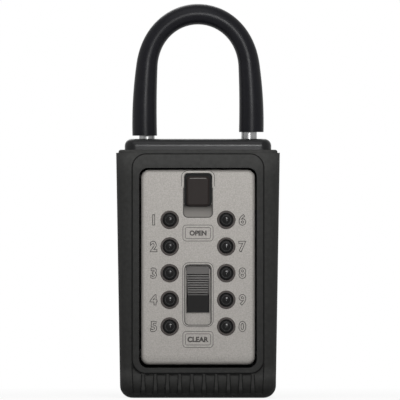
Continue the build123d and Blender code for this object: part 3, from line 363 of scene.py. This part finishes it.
def open_finish():
    """The OPEN button: brown-black on its raised face, and black behind it as painted shade."""
    face = place("open_button")[0][1]
    start, end = face + OPEN_TONE_START, face + OPEN_TONE_END
    stops = ((0.2, OPEN_BROWN), (0.8, OPEN_BLACK))
    return toned("open_black", "Y", start, end, stops, 0.8, (0.34, 0.46), 0.06, 0.005)


def make_materials():
    """One finish for each material slot of the record."""
    # Painted light and shade on the notch floors: paler near their tops, darker lower down.
    notch_painted_light = (JACKET_FACE + NOTCH_TONE_START, JACKET_FACE + NOTCH_TONE_END, NOTCH_PAINTED_LIGHT)
    return {
        "box_black": surface("box_black", (0.003, 0.003, 0.0035), 0.33, 3.0, 0.001,
                             specular=0.19, rough_spread=0.03),
        # The jacket's tones carry painted light and shade: paler towards its top, darker low down.
        "jacket_rubber": surface("jacket_rubber", (0.028, 0.028, 0.0272), 0.60, 1.6, 0.012, specular=0.03,
                                 fine=0.16, fine_depth=0.012, painted_light=JACKET_PAINTED_LIGHT, deep=notch_painted_light),
        # The lid's tones carry painted shade on its rounded lower edge and painted light near its top.
        "lid_silver": surface("lid_silver", (0.272, 0.259, 0.243), 0.50, 0.45, 0.014, spread=0.16,
                              metallic=0.1, specular=0.12, fine=0.2, fine_depth=0.016, painted_light=LID_PAINTED_LIGHT),
        "ring_grey": surface("ring_grey", (0.054, 0.047, 0.044), 0.42, 0.8, 0.006, specular=0.12),
        "button_black": surface("button_black", (0.007, 0.007, 0.007), 0.20, 1.2, 0.0002,
                                specular=0.1, rough_spread=0.02),
        "slider_grey": worn_slider(),
        "polished_steel": surface("polished_steel", (0.26, 0.26, 0.26), 0.30, 0.35, 0.001,
                                  stretch=(1.0, 1.0, 14.0), metallic=1.0, spread=0.08),
        "black_steel": surface("black_steel", (0.004, 0.004, 0.004), 0.50, 0.5, 0.003, specular=0.04),
        "sleeve_vinyl": surface("sleeve_vinyl", (0.005, 0.005, 0.0068), 0.35, 2.4, 0.0006,
                                specular=0.11, rough_spread=0.03),
        "bush_bronze": surface("bush_bronze", (0.36, 0.25, 0.12), 0.38, 0.5, 0.004, metallic=1.0),
        "gasket_rubber": surface("gasket_rubber", (0.022, 0.022, 0.022), 0.75, 0.8, 0.01, specular=0.25),
        "plated_steel": surface("plated_steel", (0.46, 0.46, 0.44), 0.36, 0.5, 0.004,
                                stretch=(4.0, 4.0, 1.0), metallic=1.0, spread=0.1),
        "release_blue": surface("release_blue", (0.05, 0.11, 0.30), 0.36, 0.7, 0.004, metallic=0.6),
    }


def paint(piece, material):
    """Give a piece one material."""
    piece.data.materials.clear()
    piece.data.materials.append(material)


def seen_rays(tree):
    """1 for what the camera sees, directly, in gloss or through glass."""
    rays = tree.nodes.new("ShaderNodeLightPath")
    last = rays.outputs["Is Camera Ray"]
    for name in ("Is Glossy Ray", "Is Transmission Ray"):
        either = tree.nodes.new("ShaderNodeMath")
        either.operation = "MAXIMUM"
        tree.links.new(last, either.inputs[0])
        tree.links.new(rays.outputs[name], either.inputs[1])
        last = either.outputs["Value"]
    return last


def make_stage():
    """Pale floor that keeps the object's shadow."""
    bpy.ops.mesh.primitive_plane_add(size=FLOOR_SIZE)
    floor = bpy.context.object
    floor.name = "floor"
    material, tree, shader = new_material("pale_floor")
    shader.inputs["Base Color"].default_value = (0.9, 0.9, 0.9, 1.0)
    shader.inputs["Roughness"].default_value = 0.9
    shader.inputs["Specular IOR Level"].default_value = 0.0
    glow = tree.nodes.new("ShaderNodeEmission")
    glow.inputs["Strength"].default_value = 1.0
    position = tree.nodes.new("ShaderNodeTexCoord")
    away = tree.nodes.new("ShaderNodeVectorMath")
    away.operation = "LENGTH"
    tree.links.new(position.outputs["Object"], away.inputs[0])
    share = between(tree, away.outputs["Value"], 1 - FLOOR_KEPT_SHADOW, 1.0, FLOOR_NEAR, FLOOR_FAR)
    both = tree.nodes.new("ShaderNodeMath")
    both.operation = "MULTIPLY"
    tree.links.new(seen_rays(tree), both.inputs[0])
    tree.links.new(share, both.inputs[1])
    mix = tree.nodes.new("ShaderNodeMixShader")
    tree.links.new(both.outputs["Value"], mix.inputs["Fac"])
    tree.links.new(shader.outputs["BSDF"], mix.inputs[1])
    tree.links.new(glow.outputs["Emission"], mix.inputs[2])
    tree.links.new(mix.outputs["Shader"], tree.nodes["Material Output"].inputs["Surface"])
    paint(floor, material)


def make_room():
    """The world: grey light, stronger from above, seen as white."""
    world = bpy.data.worlds.new("room")
    bpy.context.scene.world = world
    world.use_nodes = True
    tree = world.node_tree
    light = tree.nodes["Background"]
    light.inputs["Color"].default_value = (1.0, 1.0, 1.0, 1.0)
    direction = tree.nodes.new("ShaderNodeTexCoord")
    parts = tree.nodes.new("ShaderNodeSeparateXYZ")
    tree.links.new(direction.outputs["Generated"], parts.inputs["Vector"])
    strength = between(tree, parts.outputs["Z"], ROOM_LOW, ROOM_HIGH, -1.0, 1.0)
    tree.links.new(strength, light.inputs["Strength"])
    white = tree.nodes.new("ShaderNodeBackground")
    white.inputs["Color"].default_value = (1.0, 1.0, 1.0, 1.0)
    white.inputs["Strength"].default_value = 1.0
    mix = tree.nodes.new("ShaderNodeMixShader")
    tree.links.new(seen_rays(tree), mix.inputs["Fac"])
    tree.links.new(light.outputs["Background"], mix.inputs[1])
    tree.links.new(white.outputs["Background"], mix.inputs[2])
    tree.links.new(mix.outputs["Shader"], tree.nodes["World Output"].inputs["Surface"])


def make_lamp(name, azimuth, elevation, distance, size, power):
    """A square softbox aimed at the middle of the object."""
    light = bpy.data.lights.new(name, "AREA")
    light.size = size
    light.energy = power
    lamp = bpy.data.objects.new(name, light)
    bpy.context.collection.objects.link(lamp)
    turn, rise = math.radians(azimuth), math.radians(elevation)
    away = Vector((math.sin(turn) * math.cos(rise), -math.cos(turn) * math.cos(rise), math.sin(rise)))
    aim = Vector((0.0, 0.0, VIEW_MIDDLE_Z * MM))
    lamp.location = aim + away * distance
    lamp.rotation_euler = (-away).to_track_quat("-Z", "Y").to_euler()


def make_camera():
    """Straight-on view that frames the object as the photograph does."""
    data = bpy.data.cameras.new("camera")
    data.lens = LENS
    data.sensor_width = SENSOR
    data.clip_end = 100.0
    camera = bpy.data.objects.new("camera", data)
    bpy.context.collection.objects.link(camera)
    distance = VIEW_HEIGHT * LENS / SENSOR
    front = cad_box[0].y
    camera.location = (VIEW_SHIFT_X * MM, front - distance * MM, VIEW_MIDDLE_Z * MM)
    camera.rotation_euler = (math.radians(90), 0.0, 0.0)
    bpy.context.scene.camera = camera


def new_piece(name, points, faces, body, material):
    """A mesh piece from points in millimetres that rides on a body."""
    mesh = bpy.data.meshes.new(name)
    mesh.from_pydata([[c * MM for c in p] for p in points], [], faces)
    mesh.validate()
    piece = bpy.data.objects.new(name, mesh)
    bpy.context.collection.objects.link(piece)
    paint(piece, material)
    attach(piece, body)
    return piece


def round_window(half_width, low, high, corner, steps=6):
    """Points round a window with rounded corners, as x and z."""
    points = []
    centres = (
        (half_width - corner, high - corner, 0), (corner - half_width, high - corner, 90),
        (corner - half_width, low + corner, 180), (half_width - corner, low + corner, 270),
    )
    for x, z, start in centres:
        for step in range(steps + 1):
            turn = math.radians(start + 90 * step / steps)
            points.append((x + corner * math.cos(turn), z + corner * math.sin(turn)))
    return points


def half_window(window, end, lower):
    """The lower or upper end of a window, whose two upright sides stop at the height end."""
    middle = (window[1] + window[2]) / 2
    path = [p for p in round_window(*window) if (p[1] < middle) == lower]
    return [(path[0][0], end)] + path + [(path[-1][0], end)]


def line_strip(name, path, closed, width, front, depth, material, body="lid"):
    """A thin strip along a path of x and z, half sunk in a face; front is its y, or a y for each point."""
    count = len(path)
    points = []
    fronts = front if isinstance(front, list) else [front] * count
    for i, (x, z) in enumerate(path):
        before = path[i - 1] if closed or i else path[i]
        after = path[(i + 1) % count] if closed or i < count - 1 else path[i]
        run = Vector((after[0] - before[0], after[1] - before[1])).normalized() * width / 2
        for side, sink in ((1, -depth), (-1, -depth), (-1, depth), (1, depth)):
            points.append((x - side * run.y, fronts[i] + sink, z + side * run.x))
    faces = []
    for i in range(count if closed else count - 1):
        a, b = 4 * i, 4 * ((i + 1) % count)
        for k in range(4):
            n = (k + 1) % 4
            faces.append((a + k, b + k, b + n, a + n))
    if not closed:
        last = 4 * (count - 1)
        faces += [(0, 1, 2, 3), (last + 3, last + 2, last + 1, last)]
    return new_piece(name, points, faces, body, material)


def plate(name, path, front, depth, material):
    """A thin plate with the given outline of x and z points, in the lid's face."""
    count = len(path)
    points = [(x, front, z) for x, z in path] + [(x, front + depth, z) for x, z in path]
    faces = [tuple(range(count)), tuple(reversed(range(count, 2 * count)))]
    for i in range(count):
        n = (i + 1) % count
        faces.append((i, i + count, n + count, n))
    return new_piece(name, points, faces, "lid", material)


def lettering(name, words, height, x, z, front, bold, line, material):
    """Lettering on the lid's face: its outline where line is given, else filled letters."""
    curve = bpy.data.curves.new(name, "FONT")
    curve.body = words
    curve.align_x = "CENTER"
    curve.size = (height - 2 * bold) * MM / CAPITAL
    curve.bevel_resolution = 1
    if line:
        curve.fill_mode = "NONE"
        curve.offset = bold * MM
        curve.bevel_depth = line * MM
    else:
        curve.bevel_depth = bold * MM
    text = bpy.data.objects.new(name + "_text", curve)
    bpy.context.collection.objects.link(text)
    bpy.context.view_layer.update()
    graph = bpy.context.evaluated_depsgraph_get()
    mesh = bpy.data.meshes.new_from_object(text.evaluated_get(graph))
    bpy.data.objects.remove(text)
    low = [min(v.co[i] for v in mesh.vertices) for i in (0, 1)]
    high = [max(v.co[i] for v in mesh.vertices) for i in (0, 1)]
    middle = [(a + b) / 2 for a, b in zip(low, high)]
    points = [
        ((v.co.x - middle[0]) / MM + x, front - v.co.z / MM, (v.co.y - middle[1]) / MM + z)
        for v in mesh.vertices
    ]
    faces = [tuple(reversed(p.vertices)) for p in mesh.polygons]
    bpy.data.meshes.remove(mesh)
    return new_piece(name, points, faces, "lid", material)


def make_digits(front, marks_and_shade):
    """A digit beside each button, on the lid's outer side, drawn as a dark outline of painted shade at a
    raised digit's edges.
    """
    for digit in range(10):
        low, high = place(f"push_button_{digit}")
        side = 1 if low[0] + high[0] > 0 else -1
        height = (low[2] + high[2]) / 2
        lettering(f"digit_{digit}", str(digit), DIGIT_HEIGHT, side * DIGIT_COLUMN, height, front,
                  DIGIT_BOLD, DIGIT_LINE, marks_and_shade)


def make_labels(front, marks_and_shade):
    """The words of the two controls in their double frames, whose dark lines are painted shade at the edges
    of raised rims.
    """
    for word, height, size in LABELS:
        lettering(f"word_{word.lower()}", word, size, 0.0, height, front, WORD_BOLD, 0, marks_and_shade)
        for edge, half_width, half_height, corner, line in LABEL_FRAMES:
            path = round_window(half_width, height - half_height, height + half_height, corner)
            line_strip(f"line_{word.lower()}_{edge}", path, True, line, front, LINE_SINK, marks_and_shade)


def make_recess_lines(front, marks_and_shade):
    """Dark lines of painted shade round the lid's two recesses, and a painted shadow on the floor of the
    upper one.
    """
    line_strip("line_clear_recess", round_window(*CLEAR_RIM), True, FRAME_LINE, front, LINE_SINK, marks_and_shade)
    # A thin plate on the OPEN recess's floor carries the painted shadow of the button.
    floor = half_window(OPEN_FLOOR, RECESS_TOP, True)
    plate("open_floor", floor, front + RECESS_DEPTH, LINE_SINK, recess_shade())
    face = front - RIM_RAISE
    line_strip("line_clear_edge", round_window(*CLEAR_EDGE), True, EDGE_LINE, face, LINE_SINK, marks_and_shade)
    edge = half_window(OPEN_EDGE, OPEN_EDGE_END, True)
    line_strip("line_open_edge", edge, False, EDGE_LINE, front, LINE_SINK, marks_and_shade)
    rim = half_window(OPEN_RIM, OPEN_RIM_END, False)
    line_strip("line_open_recess", rim, False, FRAME_LINE, front, LINE_SINK, marks_and_shade)


def make_slider_grooves(dark):
    """Painted shade as dark strips in the grooves between the slider's ribs, each a little wider and
    further back than the one below.
    """
    low, high = place("clear_button")
    crest, strip = low[2] + SLIDER_CREST, high[2] - SLIDER_STRIP_HEIGHT
    step = (strip - crest) / GROOVE_COUNT
    for rib in range(GROOVE_COUNT):
        share = (rib + GROOVE_PLACE) / GROOVE_COUNT
        half = SLIDER_CREST_HALF + SLIDER_SPREAD * share
        height = crest + (rib + GROOVE_PLACE) * step
        line_strip(f"groove_{rib}", [(-half, height), (half, height)], False, step * GROOVE_WIDTH,
                   low[1] + SLIDER_WEDGE * share, GROOVE_SINK, dark, "clear")


def make_button_lines():
    """A fine pale ring line on the dome of each button, a painted highlight where the dome steps."""
    rim = surface("button_rim", (0.035, 0.035, 0.035), 0.4, 0.6, 0.001, specular=0.08)
    turns = [math.tau * step / BUTTON_LINE_STEPS for step in range(BUTTON_LINE_STEPS)]
    for digit in range(10):
        low, high = place(f"push_button_{digit}")
        x, z = (low[0] + high[0]) / 2, (low[2] + high[2]) / 2
        path = [(x + BUTTON_LINE_RADIUS * math.cos(t), z + BUTTON_LINE_RADIUS * math.sin(t)) for t in turns]
        line_strip(f"button_line_{digit}", path, True, BUTTON_LINE, low[1] + BUTTON_LINE_SINK, FINE_SINK,
                   rim, f"button_{digit}")


def base_curve(z):
    """How far the jacket's rounded lower edge lies behind its face at height z."""
    under = max(JACKET_BASE_ROUND - z, 0.0)
    return JACKET_BASE_ROUND - math.sqrt(JACKET_BASE_ROUND ** 2 - under ** 2)


def notch_side(middle, side, high):
    """Points up one side of a notch, from its foot to high."""
    slope = (NOTCH_TOP_HALF - NOTCH_BASE_HALF) / (NOTCH_LINE_HIGH - NOTCH_LINE_LOW)
    heights = [NOTCH_LINE_LOW, *NOTCH_LINE_CURVE, high]
    return [(middle + side * (NOTCH_BASE_HALF + slope * (z - NOTCH_LINE_LOW)), z) for z in heights]


def make_jacket_lines(dark):
    """Painted shade as dark lines round the foot of the bezel and up the sides of the notches."""
    bezel_shade_path = round_window(*BEZEL_SHADE_WINDOW, steps=8)
    line_strip("bezel_line", bezel_shade_path, True, BEZEL_LINE, JACKET_FACE, FINE_SINK, dark, "case")
    last = NOTCH_COUNT - 1
    for n in range(NOTCH_COUNT):
        middle = (n - last / 2) * NOTCH_PITCH
        left = notch_side(middle, -1, NOTCH_OUTER_HIGH if n == 0 else NOTCH_LINE_HIGH)
        right = notch_side(middle, 1, NOTCH_OUTER_HIGH if n == last else NOTCH_LINE_HIGH)
        for run, path in enumerate((left, right) if n in (0, last) else (left + right[::-1],)):
            fronts = [JACKET_FACE + base_curve(z) for x, z in path]
            line_strip(f"notch_line_{n}_{run}", path, False, NOTCH_LINE, fronts, LINE_SINK, dark,
                       "case")


def make_open_line():
    """A painted highlight line on the top edge of the OPEN button's face."""
    low, high = place("open_button")
    top = high[2] - OPEN_TOP_EDGE
    pale = surface("open_top_highlight", (0.15, 0.145, 0.14), 0.4, 0.6, 0.002, specular=0.1)
    line_strip("line_open_top", [(-OPEN_TOP_HALF, top), (OPEN_TOP_HALF, top)], False, OPEN_TOP_LINE,
               low[1], FINE_SINK, pale, "open")


def make_springs(material):
    """The two wave springs, as copies in plated steel that take the place of their CAD pieces."""
    for node, joint, travel in SPRINGS:
        source = frame["nodes"][node]
        piece = source.copy()
        piece.data = source.data.copy()
        piece.name = node + "_flexing"
        bpy.context.collection.objects.link(piece)
        paint(piece, material)
        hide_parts(node)
        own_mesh(piece)


def main():
    make_stage()
    make_room()
    make_camera()
    for lamp in LAMPS:
        make_lamp(*lamp)
    materials = make_materials()
    for row in frame["record"]["subparts"]:
        paint(frame["nodes"][row["node"]], materials[row["material_slot"]])
    paint(frame["nodes"]["open_button"], open_finish())
    paint(frame["nodes"]["lid_catch"], materials["black_steel"])
    front = place("lid_shell")[0][1] + RIM_RAISE
    # Dark grey for the words, and for the lid's lines of painted shade: digit outlines, label frames and
    # recess edges.
    marks_and_shade = surface("mark_and_shade_grey", (0.052, 0.049, 0.046), 0.5, 0.5, 0.003, specular=0.15)
    make_digits(front, marks_and_shade)
    make_labels(front, marks_and_shade)
    make_recess_lines(front, marks_and_shade)
    # Near-black for the lines of painted shade: between the slider's ribs, round the bezel and up the
    # notches.
    dark = surface("painted_shade_black", (0.006, 0.006, 0.006), 0.6, 0.6, 0.002, specular=0.03)
    make_slider_grooves(dark)
    make_button_lines()
    make_jacket_lines(dark)
    make_open_line()
    make_springs(materials["plated_steel"])
    bpy.context.scene.view_settings.view_transform = "Standard"


main()
